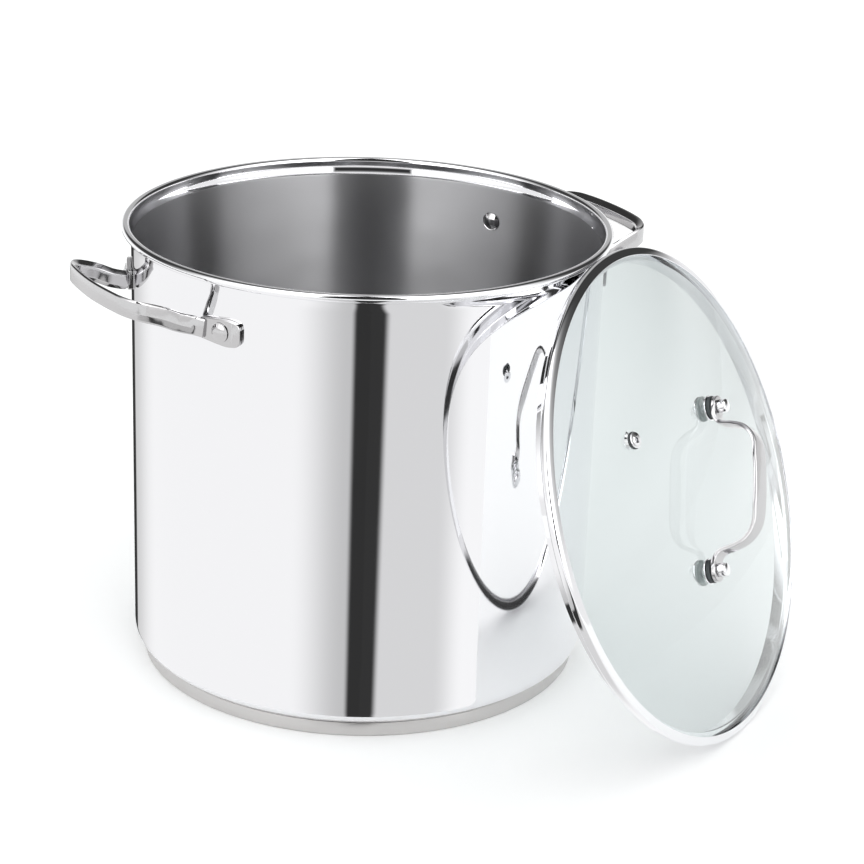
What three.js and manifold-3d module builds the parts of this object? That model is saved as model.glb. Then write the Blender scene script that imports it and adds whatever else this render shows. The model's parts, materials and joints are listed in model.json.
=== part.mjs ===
// Water bath canner: a drawn steel pot with a sandwich base and two riveted side handles, a domed
// glass lid with a steel rim, standing beside the pot and leaning on it, and a wire jar rack inside.
// Millimetres, +Z up. The origin is the centre of the base on the floor. +X runs through the right
// side handle.
import * as THREE from 'three';
import { mergeVertices } from 'three/addons/utils/BufferGeometryUtils.js';
import Module from 'manifold-3d';

const wasm = await Module();
wasm.setup();

// ---- driving dimensions ----------------------------------------------------------------------
const FIT_GAP = 0.3;            // air left between pieces that touch
const ROUND_STEPS = 60;         // sides of the large turned pieces
const SMALL_STEPS = 16;         // sides of the small turned pieces

const POT_RADIUS = 150;         // outside of the pot wall
const POT_WALL = 0.8;           // sheet thickness
const POT_FLOOR = 8.6;          // underside of the pot's own floor
const CORNER_RADIUS = 11;       // outside, wall to floor
const FLARE_START = 280;        // where the wall begins to open towards the rim
const RIM_HEIGHT = 290.1;       // centre of the rolled rim
const RIM_RADIUS = 153.4;       // centre line of the rolled rim
const RIM_BEAD = 2.7;           // outside radius of the roll

const BASE_RADIUS = 144;        // outside of the base cap
const BASE_CAP_TOP = 9.4;
const BASE_SHEET = 0.7;

const HANDLE_RIVET_ANGLE = 25;  // degrees either side of the handle's middle
const HANDLE_RIVET_HEIGHT = 258;
const HANDLE_STEPS = 44;        // stations along a bent strap
const HANDLE_REACH = 190.5;     // pot axis to the middle of the grip
const HANDLE_ARM = 47;          // handle's middle to each arm
const HANDLE_GRIP_HEIGHT = 273.5;
const HANDLE_STRAP = 12.4;      // height of the grip's section
const HANDLE_DEPTH = 5;         // depth of the grip's section
const PAD_THICKNESS = 2.6;      // riveted pad of a side handle
const PAD_HALF_ANGLE = 5.4;     // degrees of pot wall either side of the rivet
const PAD_HEIGHT = 17;
const RIVET_SHANK = 2.6;        // radius
const RIVET_HEAD = 6.2;         // radius

const LID_RADIUS = 157;         // outer edge of the lid's rim
const LID_RISE = 22.5;          // glass edge to crown
const LID_CENTRE = new THREE.Vector3(124.4, -178.5, 146.85);
const LID_TURN = -60.9;         // degrees about Z to the lid's outward face
const LID_TILT = 21.5;          // degrees that the outward face looks up
const GLASS_THICKNESS = 4;
const GLASS_RADIUS = 154.4;
const GLASS_EDGE = 1.2;         // height of the glass's outer face at its edge
const SKIRT_RADIUS = 148;       // outside of the skirt that drops into the pot
const SKIRT_DEPTH = 11.5;
const BAND_SHEET = 0.6;
const BAND_LIP = 151.6;         // where the rim's fold ends on the glass

const LID_HANDLE_TURN = 56;     // degrees in the lid's plane, from level
const LID_HANDLE_HALF = 53;     // lid's centre to each fixing
const LID_HANDLE_GRIP = 58;     // outside of the grip above the rim's plane
const LID_STRAP_THICKNESS = 2.8;
const LID_STRAP_WIDTH = 11;
const VENT_RADIUS = 86;         // lid's centre to the vent
const VENT_TURN = 141;
const VENT_BORE = 4.6;          // hole in the glass, radius
const SCREW_SHANK = 3;          // radius
const SCREW_BORE = 4.5;         // hole in the glass, radius
const WASHER_RADIUS = 8;
const OUTER_WASHER = 0.8;       // thickness of each piece in the stack at a handle fixing
const OUTER_GASKET = 2.2;
const INNER_GASKET = 1.6;
const INNER_WASHER = 1;

const RACK_WIRE = 2.5;          // wire radius of the bars and the outer ring
const RACK_RING_WIRE = 2;
const RACK_RADIUS = 136;        // centre line of the outer ring
const RACK_INNER_RINGS = [98, 62, 26];
const RACK_BAR_TURNS = [0, 60, 120];
const RACK_BAR_HEIGHT = 20;
const RACK_RING_HEIGHT = 23.6;
const RACK_FOOT_RADIUS = 122;
const RACK_PIVOT_REACH = 116;   // rack centre to each lifting handle's pivot wire
const BAIL_WIRE = 2;
const BAIL_HALF = 46;           // half the width of a lifting handle
const BAIL_LENGTH = 102;
const EYE_RADIUS = 4.7;         // centre line of the eye round the pivot wire

const POT_FLOOR_TOP = POT_FLOOR + POT_WALL;

// ---- materials -------------------------------------------------------------------------------
function finish(color, roughness, metalness) {
  return new THREE.MeshStandardMaterial({ color, roughness, metalness });
}
const polishedSteel = finish('#c9cbcd', 0.08, 1);
const brushedBase = finish('#b9b7b6', 0.4, 1);
const aluminium = finish('#b4b6b8', 0.45, 1);
const clearGlass = finish('#d6e2de', 0.03, 0);
const darkRubber = finish('#2b2f31', 0.6, 0);
const platedWire = finish('#b8bbbe', 0.2, 1);

// ---- building helpers ------------------------------------------------------------------------
const radians = THREE.MathUtils.degToRad;

function turned(profile, steps) {
  // A profile of (radius, height) points, turned about +Z.
  const geometry = new THREE.LatheGeometry(profile.map(([r, z]) => new THREE.Vector2(r, z)), steps);
  return geometry.rotateX(Math.PI / 2);
}

function solid(geometry) {
  const source = geometry.clone();
  source.deleteAttribute('normal');
  source.deleteAttribute('uv');
  const merged = mergeVertices(source, 1e-4);
  return new wasm.Manifold(new wasm.Mesh({
    numProp: 3,
    vertProperties: Float32Array.from(merged.attributes.position.array),
    triVerts: Uint32Array.from(merged.index.array),
  }));
}

function geometryOf(body) {
  const mesh = body.getMesh();
  const geometry = new THREE.BufferGeometry();
  geometry.setAttribute('position', new THREE.BufferAttribute(mesh.vertProperties, 3));
  geometry.setIndex(new THREE.BufferAttribute(mesh.triVerts, 1));
  geometry.computeVertexNormals();
  return geometry;
}

function rod(radius, length, steps = SMALL_STEPS) {
  // A cylinder along +X, from the origin outwards.
  return new THREE.CylinderGeometry(radius, radius, length, steps)
    .rotateZ(-Math.PI / 2).translate(length / 2, 0, 0);
}

function roundSection(radius, sides) {
  const shape = new THREE.Shape();
  for (let i = 0; i < sides; i += 1) {
    const angle = ((i + 0.5) * 2 * Math.PI) / sides;
    const point = [radius * Math.cos(angle), radius * Math.sin(angle)];
    if (i === 0) shape.moveTo(...point);
    else shape.lineTo(...point);
  }
  shape.closePath();
  return shape;
}

function wireAlong(points, radius, sides, steps) {
  const vectors = points.map((p) => new THREE.Vector3(...p));
  const path = new THREE.CatmullRomCurve3(vectors, false, 'centripetal');
  return new THREE.ExtrudeGeometry(roundSection(radius, sides), { steps, extrudePath: path });
}

function arc(centreX, centreY, radius, from, to, steps) {
  // Points on an arc, with angles in degrees.
  return Array.from({ length: steps + 1 }, (_, i) => {
    const angle = radians(from + ((to - from) * i) / steps);
    return [centreX + radius * Math.cos(angle), centreY + radius * Math.sin(angle)];
  });
}

function piece(parent, name, geometry, material) {
  const mesh = new THREE.Mesh(geometry, material);
  mesh.name = name;
  parent.add(mesh);
  return mesh;
}

// ---- pot -------------------------------------------------------------------------------------
function potShell() {
  const outer = POT_RADIUS;
  const inner = POT_RADIUS - POT_WALL;
  const cornerR = outer - CORNER_RADIUS;
  const cornerZ = POT_FLOOR + CORNER_RADIUS;
  const mouth = RIM_RADIUS - RIM_BEAD;
  const curlInside = RIM_BEAD - POT_WALL;
  return [
    [0, POT_FLOOR],
    ...arc(cornerR, cornerZ, CORNER_RADIUS, -90, 0, 4),
    [outer, FLARE_START],
    [outer + 0.7, FLARE_START + 4.4],
    [mouth + POT_WALL, RIM_HEIGHT - 2],
    ...arc(RIM_RADIUS, RIM_HEIGHT, curlInside, 180, -100, 7),
    ...arc(RIM_RADIUS, RIM_HEIGHT, RIM_BEAD, -100, 180, 9),
    [mouth - 0.1, RIM_HEIGHT - 2],
    [inner + 0.7, FLARE_START + 4.4],
    [inner, FLARE_START],
    ...arc(cornerR, cornerZ, CORNER_RADIUS - POT_WALL, 0, -90, 4),
    [0, POT_FLOOR_TOP],
  ];
}

function rivetPlace(side, hand) {
  // side 0 is the right handle and 180 the left one; hand is +1 or -1 along the handle.
  return new THREE.Matrix4().makeRotationZ(radians(side + hand * HANDLE_RIVET_ANGLE))
    .multiply(new THREE.Matrix4().makeTranslation(0, 0, HANDLE_RIVET_HEIGHT));
}

const RIVET_PLACES = [
  ['right_handle_rear_rivet', 0, 1],
  ['right_handle_front_rivet', 0, -1],
  ['left_handle_front_rivet', 180, 1],
  ['left_handle_rear_rivet', 180, -1],
];

function buildPot(parent) {
  let shell = solid(turned(potShell(), ROUND_STEPS));
  for (const [, side, hand] of RIVET_PLACES) {
    const bore = rod(RIVET_SHANK + FIT_GAP, 12, 12).translate(POT_RADIUS - 6, 0, 0);
    shell = shell.subtract(solid(bore.applyMatrix4(rivetPlace(side, hand))));
  }
  piece(parent, 'pot_body', geometryOf(shell), polishedSteel);
}

function buildBase(parent) {
  const inside = BASE_RADIUS - BASE_SHEET;
  const cap = [
    [0, 0], [BASE_RADIUS - 1.5, 0], [BASE_RADIUS, 1.5], [BASE_RADIUS, BASE_CAP_TOP],
    [inside, BASE_CAP_TOP], [inside, 2], [inside - 1.2, BASE_SHEET], [0, BASE_SHEET],
  ];
  piece(parent, 'base_cap', turned(cap, ROUND_STEPS), brushedBase);
  const bottom = BASE_SHEET + FIT_GAP;
  const top = POT_FLOOR - FIT_GAP;
  const radius = inside - 2;
  const core = [[0, bottom], [radius, bottom], [radius, top - 1], [radius - 1.5, top], [0, top]];
  piece(parent, 'base_heat_spreading_disc', turned(core, ROUND_STEPS), aluminium);
}

// ---- side handles ----------------------------------------------------------------------------
function handleSection() {
  // x is down and y is towards the pot: a flat outer face, and an inner side with broad chamfers.
  const half = HANDLE_STRAP / 2;
  const front = HANDLE_DEPTH / 2;
  const shape = new THREE.Shape();
  shape.moveTo(-half, front - 1);
  shape.lineTo(-half + 1, front);
  shape.lineTo(half - 1, front);
  shape.lineTo(half, front - 1);
  shape.lineTo(half - 3, -front);
  shape.lineTo(-half + 3, -front);
  shape.closePath();
  return shape;
}

function handleStrap() {
  const middle = POT_RADIUS + FIT_GAP + PAD_THICKNESS / 2 + 1;
  const start = radians(HANDLE_RIVET_ANGLE - PAD_HALF_ANGLE + 1);
  const half = [
    [middle * Math.cos(start), middle * Math.sin(start), HANDLE_RIVET_HEIGHT],
    [POT_RADIUS - 3, HANDLE_ARM + 1.6, HANDLE_RIVET_HEIGHT + 1],
    [POT_RADIUS + 7, HANDLE_ARM - 0.3, HANDLE_RIVET_HEIGHT + 4.2],
    [HANDLE_REACH - 22, HANDLE_ARM, HANDLE_GRIP_HEIGHT - 6],
    [HANDLE_REACH - 9, HANDLE_ARM - 2.4, HANDLE_GRIP_HEIGHT - 1.6],
    [HANDLE_REACH - 4, HANDLE_ARM - 10, HANDLE_GRIP_HEIGHT - 0.4],
    [HANDLE_REACH - 1.6, HANDLE_ARM - 22, HANDLE_GRIP_HEIGHT],
    [HANDLE_REACH, 0, HANDLE_GRIP_HEIGHT],
  ];
  const mirrored = half.slice(0, -1).reverse().map(([x, y, z]) => [x, -y, z]);
  const points = [...half, ...mirrored].map((p) => new THREE.Vector3(...p));
  const path = new THREE.CatmullRomCurve3(points, false, 'centripetal');
  return new THREE.ExtrudeGeometry(handleSection(), { steps: HANDLE_STEPS, extrudePath: path });
}

function handlePad(hand) {
  // A plate that follows the pot wall, with its corners rounded, bored for the rivet.
  const inner = POT_RADIUS + FIT_GAP;
  const outer = inner + PAD_THICKNESS;
  const span = radians(PAD_HALF_ANGLE);
  const plan = new THREE.Shape();
  plan.absarc(0, 0, outer, -span, span, false);
  plan.absarc(0, 0, inner, span, -span, true);
  plan.closePath();
  const ring = new THREE.ExtrudeGeometry(plan, { depth: PAD_HEIGHT, bevelEnabled: false, curveSegments: 6 })
    .translate(0, 0, -PAD_HEIGHT / 2);
  const reach = inner * Math.sin(span);
  const face = new THREE.Shape();
  face.moveTo(-reach - 1, -PAD_HEIGHT * 0.38);
  face.lineTo(reach - 6, -PAD_HEIGHT / 2);
  face.quadraticCurveTo(reach, -PAD_HEIGHT * 0.46, reach, -PAD_HEIGHT * 0.28);
  face.lineTo(reach, PAD_HEIGHT * 0.28);
  face.quadraticCurveTo(reach, PAD_HEIGHT * 0.46, reach - 6, PAD_HEIGHT / 2);
  face.lineTo(-reach - 1, PAD_HEIGHT * 0.38);
  face.closePath();
  const outline = new THREE.ExtrudeGeometry(face, { depth: 20, bevelEnabled: false, curveSegments: 4 })
    .rotateX(Math.PI / 2).rotateZ(Math.PI / 2).translate(POT_RADIUS - 10, 0, 0);
  const bore = rod(RIVET_SHANK + FIT_GAP, 20, 12).translate(POT_RADIUS - 10, 0, 0);
  const plate = solid(ring).intersect(solid(outline)).subtract(solid(bore));
  const geometry = geometryOf(plate);
  return hand > 0 ? geometry : geometryOf(plate.mirror([0, 1, 0]));
}

function buildSideHandle(parent, name, side) {
  // The strap is trimmed where it would enter the pot wall, then joined to its two pads.
  const wall = POT_RADIUS + FIT_GAP;
  const low = HANDLE_RIVET_HEIGHT - 58;
  const high = HANDLE_RIVET_HEIGHT + 28;
  const keepOut = turned([[0, low], [wall, low], [wall, high], [0, high]], 180);
  let handle = solid(handleStrap()).subtract(solid(keepOut));
  for (const hand of [1, -1]) {
    handle = handle.add(solid(handlePad(hand).applyMatrix4(rivetPlace(0, hand))));
  }
  const mesh = piece(parent, name, geometryOf(handle), polishedSteel);
  mesh.rotation.z = radians(side);
}

function rivetProfile() {
  const insideFace = -POT_WALL - 2 * FIT_GAP;
  const outsideFace = 2 * FIT_GAP + PAD_THICKNESS;
  const shank = RIVET_SHANK;
  const head = RIVET_HEAD;
  return [
    [0, insideFace - 2], [head * 0.55, insideFace - 1.6], [head, insideFace - 0.4],
    [head, insideFace], [shank, insideFace], [shank, outsideFace],
    [head, outsideFace], [head, outsideFace + 0.6], [head * 0.6, outsideFace + 1.6],
    [0, outsideFace + 1.9],
  ];
}

function buildRivets(parent) {
  for (const [name, side, hand] of RIVET_PLACES) {
    const geometry = turned(rivetProfile(), SMALL_STEPS).rotateY(Math.PI / 2).translate(POT_RADIUS, 0, 0);
    piece(parent, name, geometry.applyMatrix4(rivetPlace(side, hand)), polishedSteel);
  }
}

// ---- lid -------------------------------------------------------------------------------------
const glassSphere = (GLASS_RADIUS ** 2 + LID_RISE ** 2) / (2 * LID_RISE);

function glassHeight(radius) {
  // Height of the glass's outer face above the rim's plane.
  return GLASS_EDGE + LID_RISE - (glassSphere - Math.sqrt(glassSphere ** 2 - radius ** 2));
}

function lidHandleSpot(hand) {
  const angle = radians(LID_HANDLE_TURN);
  return [hand * LID_HANDLE_HALF * Math.cos(angle), hand * LID_HANDLE_HALF * Math.sin(angle)];
}

function ventSpot() {
  const angle = radians(VENT_TURN);
  return [VENT_RADIUS * Math.cos(angle), VENT_RADIUS * Math.sin(angle)];
}

function buildGlass(lid) {
  const rings = [0, LID_HANDLE_HALF, VENT_RADIUS, 122, GLASS_RADIUS];
  const outerFace = rings.map((r) => [r, glassHeight(r)]);
  const innerFace = rings.map((r) => [r, glassHeight(r) - GLASS_THICKNESS]);
  const profile = [...innerFace, ...outerFace.reverse()];
  let glass = solid(turned(profile, ROUND_STEPS));
  const spots = [
    [...lidHandleSpot(1), SCREW_BORE],
    [...lidHandleSpot(-1), SCREW_BORE],
    [...ventSpot(), VENT_BORE],
  ];
  for (const [x, y, radius] of spots) {
    const bore = new THREE.CylinderGeometry(radius, radius, 60, SMALL_STEPS).rotateX(Math.PI / 2);
    glass = glass.subtract(solid(bore.translate(x, y, 10)));
  }
  piece(lid, 'lid_glass', geometryOf(glass), clearGlass);
}

function buildBand(lid) {
  // One rolled strip: it folds over the glass's edge and drops as a skirt inside the pot's mouth.
  const lip = BAND_LIP;
  const lipTop = glassHeight(lip) + FIT_GAP + BAND_SHEET;
  const under = GLASS_EDGE - GLASS_THICKNESS - FIT_GAP - 0.2;
  const edge = GLASS_RADIUS + FIT_GAP;
  const skirtInside = SKIRT_RADIUS - BAND_SHEET;
  const profile = [
    [lip, lipTop], [lip, lipTop - BAND_SHEET], [edge, GLASS_EDGE + FIT_GAP + 0.1],
    [edge + 0.3, GLASS_EDGE - 1], [edge + 0.1, under], [skirtInside, under],
    [skirtInside, -SKIRT_DEPTH], [SKIRT_RADIUS + 0.2, -SKIRT_DEPTH],
    [SKIRT_RADIUS, under - BAND_SHEET - 0.4], [SKIRT_RADIUS + 0.6, under - BAND_SHEET],
    [LID_RADIUS - 1.4, under - BAND_SHEET], [LID_RADIUS - 0.3, under + 0.6],
    [LID_RADIUS, 0], [LID_RADIUS - 0.6, 1.2], [LID_RADIUS - 2, 2],
    [lip, lipTop],
  ];
  piece(lid, 'lid_rim_band', turned(profile, ROUND_STEPS), polishedSteel);
}

// Heights of the stack at each handle fixing, measured from the glass's outer face.
const seatHeight = glassHeight(LID_HANDLE_HALF - WASHER_RADIUS) + FIT_GAP;
const innerSeat = glassHeight(LID_HANDLE_HALF + WASHER_RADIUS) - GLASS_THICKNESS - 2 * FIT_GAP;
const padBottom = seatHeight + OUTER_WASHER + OUTER_GASKET + 3 * FIT_GAP;
const padTop = padBottom + LID_STRAP_THICKNESS;

const SCREW_FIT = SCREW_SHANK + FIT_GAP;   // hole that a screw passes through, radius

function lidHandleSide() {
  // The bent strap seen from the side: flat pads, a double bend and a nearly level grip.
  const half = LID_STRAP_THICKNESS / 2;
  const pad = padTop - half;
  const grip = LID_HANDLE_GRIP - half;
  const bend = [
    [-61, pad], [-46.5, pad], [-42, pad + 3], [-39.5, grip - 17],
    [-36, grip - 8.5], [-28, grip - 2], [-14, grip], [0, grip + 0.4],
  ];
  const mirrored = bend.slice(0, -1).reverse().map(([x, y]) => [-x, y]);
  const points = [...bend, ...mirrored].map(([x, y]) => new THREE.Vector3(x, y, 0));
  const path = new THREE.CatmullRomCurve3(points, false, 'centripetal');
  const steps = HANDLE_STEPS;
  const upper = [];
  const lower = [];
  for (let i = 0; i <= steps; i += 1) {
    const at = path.getPointAt(i / steps);
    const along = path.getTangentAt(i / steps);
    upper.push(new THREE.Vector2(at.x - along.y * half, at.y + along.x * half));
    lower.push(new THREE.Vector2(at.x + along.y * half, at.y - along.x * half));
  }
  return new THREE.Shape([...upper, ...lower.reverse()]);
}

function lidHandlePlan() {
  // The strap seen from above: round pads, a slight neck at each bend and a wider grip.
  const half = LID_STRAP_WIDTH / 2;
  const neck = half - 1.2;
  const shape = new THREE.Shape();
  shape.moveTo(-54, -half - 0.6);
  shape.quadraticCurveTo(-45, -half, -40, -neck);
  shape.quadraticCurveTo(-25, -half - 0.8, 0, -half - 1);
  shape.quadraticCurveTo(25, -half - 0.8, 40, -neck);
  shape.quadraticCurveTo(45, -half, 54, -half - 0.6);
  shape.absarc(54, 0, half + 0.6, -Math.PI / 2, Math.PI / 2, false);
  shape.quadraticCurveTo(45, half, 40, neck);
  shape.quadraticCurveTo(25, half + 0.8, 0, half + 1);
  shape.quadraticCurveTo(-25, half + 0.8, -40, neck);
  shape.quadraticCurveTo(-45, half, -54, half + 0.6);
  shape.absarc(-54, 0, half + 0.6, Math.PI / 2, (3 * Math.PI) / 2, false);
  return shape;
}

function buildLidHandle(lid) {
  const strip = new THREE.ExtrudeGeometry(lidHandleSide(), { depth: 24, bevelEnabled: false })
    .translate(0, 0, -12).rotateX(Math.PI / 2);
  const thickness = { depth: 60, bevelEnabled: false, curveSegments: 5 };
  const outline = new THREE.ExtrudeGeometry(lidHandlePlan(), thickness).translate(0, 0, 10);
  let strap = solid(strip).intersect(solid(outline));
  for (const hand of [1, -1]) {
    const bore = new THREE.CylinderGeometry(SCREW_FIT, SCREW_FIT, 20, SMALL_STEPS);
    strap = strap.subtract(solid(bore.rotateX(Math.PI / 2).translate(hand * LID_HANDLE_HALF, 0, padTop)));
  }
  const mesh = piece(lid, 'lid_handle', geometryOf(strap), polishedSteel);
  mesh.rotation.z = radians(LID_HANDLE_TURN);
}

function ring(outer, inner, bottom, top) {
  const profile = [[inner, bottom], [outer, bottom], [outer, top], [inner, top], [inner, bottom]];
  return turned(profile, SMALL_STEPS);
}

function washer(radius, bottom, thickness) {
  return ring(radius, SCREW_FIT, bottom, bottom + thickness);
}

function buildLidFixings(lid) {
  const washerTop = seatHeight + OUTER_WASHER;
  const gasketBottom = washerTop + FIT_GAP;
  const innerGasketBottom = innerSeat - INNER_GASKET;
  const innerWasherTop = innerGasketBottom - FIT_GAP;
  const headTop = innerWasherTop - INNER_WASHER - FIT_GAP;
  const nutBottom = padTop + FIT_GAP;
  const screw = [
    [0, headTop - 2.6], [3.4, headTop - 2.4], [5, headTop - 1.2], [5, headTop], [SCREW_SHANK, headTop],
    [SCREW_SHANK, nutBottom + 4], [0, nutBottom + 4],
  ];
  const nut = [
    [SCREW_FIT, nutBottom], [4.3, nutBottom], [4.3, nutBottom + 5.2], [3.4, nutBottom + 6.1],
    [0, nutBottom + 6.3], [0, nutBottom + 4.3], [SCREW_FIT, nutBottom + 4.3], [SCREW_FIT, nutBottom],
  ];
  for (const [label, hand] of [['upper', 1], ['lower', -1]]) {
    const [x, y] = lidHandleSpot(hand);
    const fixings = [
      ['outer_washer', washer(WASHER_RADIUS, seatHeight, OUTER_WASHER), polishedSteel],
      ['outer_gasket', washer(WASHER_RADIUS - 0.6, gasketBottom, OUTER_GASKET), darkRubber],
      ['inner_gasket', washer(WASHER_RADIUS, innerGasketBottom, INNER_GASKET), darkRubber],
      ['inner_washer', washer(WASHER_RADIUS, innerWasherTop - INNER_WASHER, INNER_WASHER), polishedSteel],
      ['screw', turned(screw, SMALL_STEPS), polishedSteel],
      ['cap_nut', turned(nut, SMALL_STEPS), polishedSteel],
    ];
    for (const [name, geometry, material] of fixings) {
      piece(lid, `${label}_lid_handle_${name}`, geometry.translate(x, y, 0), material);
    }
  }
}

function buildVent(lid) {
  // An eyelet rolled over at both faces of the glass, sealed by a gasket under its outer flange. It
  // stands square to the sloping glass.
  const [x, y] = ventSpot();
  const slope = Math.asin(VENT_RADIUS / glassSphere);
  const outer = glassHeight(VENT_RADIUS);
  const gasketTop = 1.7;
  const gasket = ring(5.4, 3.4, 0.35, gasketTop);
  const under = -GLASS_THICKNESS - 0.35;
  const flange = gasketTop + FIT_GAP;
  const eyelet = [
    [1.6, under - 0.8], [4.6, under - 0.8], [5, under - 0.3], [4.6, under], [3, under],
    [3, flange], [4.6, flange], [4.9, flange + 0.4], [4.4, flange + 0.8], [2.8, flange + 1],
    [2.4, flange + 1.7], [1.6, flange + 1.7], [1.6, under - 0.8],
  ];
  const vent = new THREE.Group();
  vent.position.set(x, y, outer);
  vent.rotation.set(0, slope, radians(VENT_TURN), 'ZYX');
  lid.add(vent);
  piece(vent, 'vent_gasket', gasket, darkRubber);
  piece(vent, 'vent_eyelet', turned(eyelet, SMALL_STEPS), polishedSteel);
}

// ---- jar rack --------------------------------------------------------------------------------
function wireRing(radius, wire, height, sides, steps) {
  return new THREE.TorusGeometry(radius, wire, sides, steps).translate(0, 0, height);
}

function rackBar(turn) {
  // A bar straight across the rack, with a short foot near each end.
  const foot = POT_FLOOR_TOP + FIT_GAP;
  let bar = solid(rod(RACK_WIRE, 2 * RACK_RADIUS, 8).translate(-RACK_RADIUS, 0, RACK_BAR_HEIGHT));
  for (const x of [-RACK_FOOT_RADIUS, RACK_FOOT_RADIUS]) {
    const leg = rod(RACK_WIRE, RACK_BAR_HEIGHT - foot, 8).rotateY(-Math.PI / 2).translate(x, 0, foot);
    bar = bar.add(solid(leg));
  }
  return solid(geometryOf(bar).rotateZ(radians(turn)));
}

function buildRack(parent) {
  const outer = wireRing(RACK_RADIUS, RACK_WIRE, RACK_BAR_HEIGHT + 3.2, 6, 40);
  let rack = solid(outer);
  for (const radius of RACK_INNER_RINGS) {
    rack = rack.add(solid(wireRing(radius, RACK_RING_WIRE, RACK_RING_HEIGHT, 6, 32)));
  }
  for (const turn of RACK_BAR_TURNS) rack = rack.add(rackBar(turn));
  const chord = Math.sqrt(RACK_RADIUS ** 2 - RACK_PIVOT_REACH ** 2);
  for (const hand of [1, -1]) {
    const pivot = rod(RACK_RING_WIRE, 2 * chord, 8);
    pivot.translate(-chord, hand * RACK_PIVOT_REACH, RACK_RING_HEIGHT);
    rack = rack.add(solid(pivot));
  }
  piece(parent, 'jar_rack_frame', geometryOf(rack), platedWire);
}

function buildBail(parent, name, hand) {
  // A lifting handle folded in over the rack, with an eye at each end round its pivot wire.
  const height = EYE_RADIUS;
  const reach = BAIL_LENGTH;
  const corner = 16;
  const loop = [
    [-BAIL_HALF, 0, height], [-BAIL_HALF, -20, height], [-BAIL_HALF, -reach + corner * 1.5, height],
    [-BAIL_HALF + corner * 0.35, -reach + corner * 0.35, height], [-BAIL_HALF + corner * 1.5, -reach, height],
    [BAIL_HALF - corner * 1.5, -reach, height], [BAIL_HALF - corner * 0.35, -reach + corner * 0.35, height],
    [BAIL_HALF, -reach + corner * 1.5, height], [BAIL_HALF, -20, height], [BAIL_HALF, 0, height],
  ];
  let bail = solid(wireAlong(loop, BAIL_WIRE, 6, 30));
  for (const x of [-BAIL_HALF, BAIL_HALF]) {
    const eye = new THREE.TorusGeometry(EYE_RADIUS, BAIL_WIRE * 0.9, 6, 12).rotateY(Math.PI / 2);
    bail = bail.add(solid(eye.translate(x, 0, 0)));
  }
  const mesh = piece(parent, name, geometryOf(bail), platedWire);
  mesh.position.set(0, hand * RACK_PIVOT_REACH, RACK_RING_HEIGHT);
  mesh.rotation.z = hand > 0 ? 0 : Math.PI;
}

// ---- assembly --------------------------------------------------------------------------------
const canner = new THREE.Group();
buildPot(canner);
buildBase(canner);
buildSideHandle(canner, 'right_side_handle', 0);
buildSideHandle(canner, 'left_side_handle', 180);
buildRivets(canner);

const lid = new THREE.Group();
lid.position.copy(LID_CENTRE);
lid.rotation.set(0, radians(90 - LID_TILT), radians(LID_TURN), 'ZYX');
canner.add(lid);
const level = new THREE.Group();   // turns the lid's own X to run level
level.rotation.z = Math.PI / 2;
lid.add(level);
buildGlass(level);
buildBand(level);
buildLidHandle(level);
buildLidFixings(level);
buildVent(level);

buildRack(canner);
buildBail(canner, 'jar_rack_rear_lifting_handle', 1);
buildBail(canner, 'jar_rack_front_lifting_handle', -1);

export default canner;
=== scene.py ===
# Water bath canner: the finished look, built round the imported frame. Shapes are drawn in
# millimetres, and each one is brought to metres as it is finished.
import json
import math

import bmesh
import bpy
from mathutils import Matrix, Vector


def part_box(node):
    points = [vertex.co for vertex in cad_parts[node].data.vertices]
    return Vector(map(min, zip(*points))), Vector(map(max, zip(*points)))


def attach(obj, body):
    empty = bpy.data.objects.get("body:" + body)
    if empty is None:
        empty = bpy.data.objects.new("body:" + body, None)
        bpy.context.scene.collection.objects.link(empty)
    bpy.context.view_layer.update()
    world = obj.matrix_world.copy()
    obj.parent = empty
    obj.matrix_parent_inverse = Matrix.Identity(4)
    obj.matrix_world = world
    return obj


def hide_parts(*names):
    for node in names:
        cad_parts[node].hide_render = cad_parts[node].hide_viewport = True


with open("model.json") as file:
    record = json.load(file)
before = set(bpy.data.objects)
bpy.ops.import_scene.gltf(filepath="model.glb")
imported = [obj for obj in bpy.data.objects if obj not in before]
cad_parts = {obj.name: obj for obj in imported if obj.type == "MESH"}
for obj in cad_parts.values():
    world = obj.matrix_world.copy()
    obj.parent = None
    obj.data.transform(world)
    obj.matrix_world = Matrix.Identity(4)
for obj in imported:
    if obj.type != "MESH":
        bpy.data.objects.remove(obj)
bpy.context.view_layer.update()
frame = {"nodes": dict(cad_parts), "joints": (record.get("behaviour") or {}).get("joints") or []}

MM = 0.001
UP = Vector((0, 0, 1))

# ---- sizes, in millimetres ---------------------------------------------------------------------
POT_RADIUS = 150
WALL = 0.8
CORNER = 11
FLARE_START = 280
FLARE_DROP = 2
RIM_BEAD = 2.7
POT_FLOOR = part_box("pot_body")[0].z / MM
RIM_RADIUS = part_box("pot_body")[1].x / MM - RIM_BEAD
RIM_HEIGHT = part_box("pot_body")[1].z / MM - RIM_BEAD
BASE_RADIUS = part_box("base_cap")[1].x / MM
BASE_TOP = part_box("base_cap")[1].z / MM
BASE_SHEET = 0.7
# The flare's spread in millimetres, and the share of its height at which that is reached.
FLARE_CURVE = [(0.0, 0.0), (0.12, 0.2), (0.42, 0.42), (0.9, 0.66), (1.3, 0.85)]
FLARE_OUTER_SPREAD = 1.1
FLARE_INNER_SPREAD = 1.03

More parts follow.
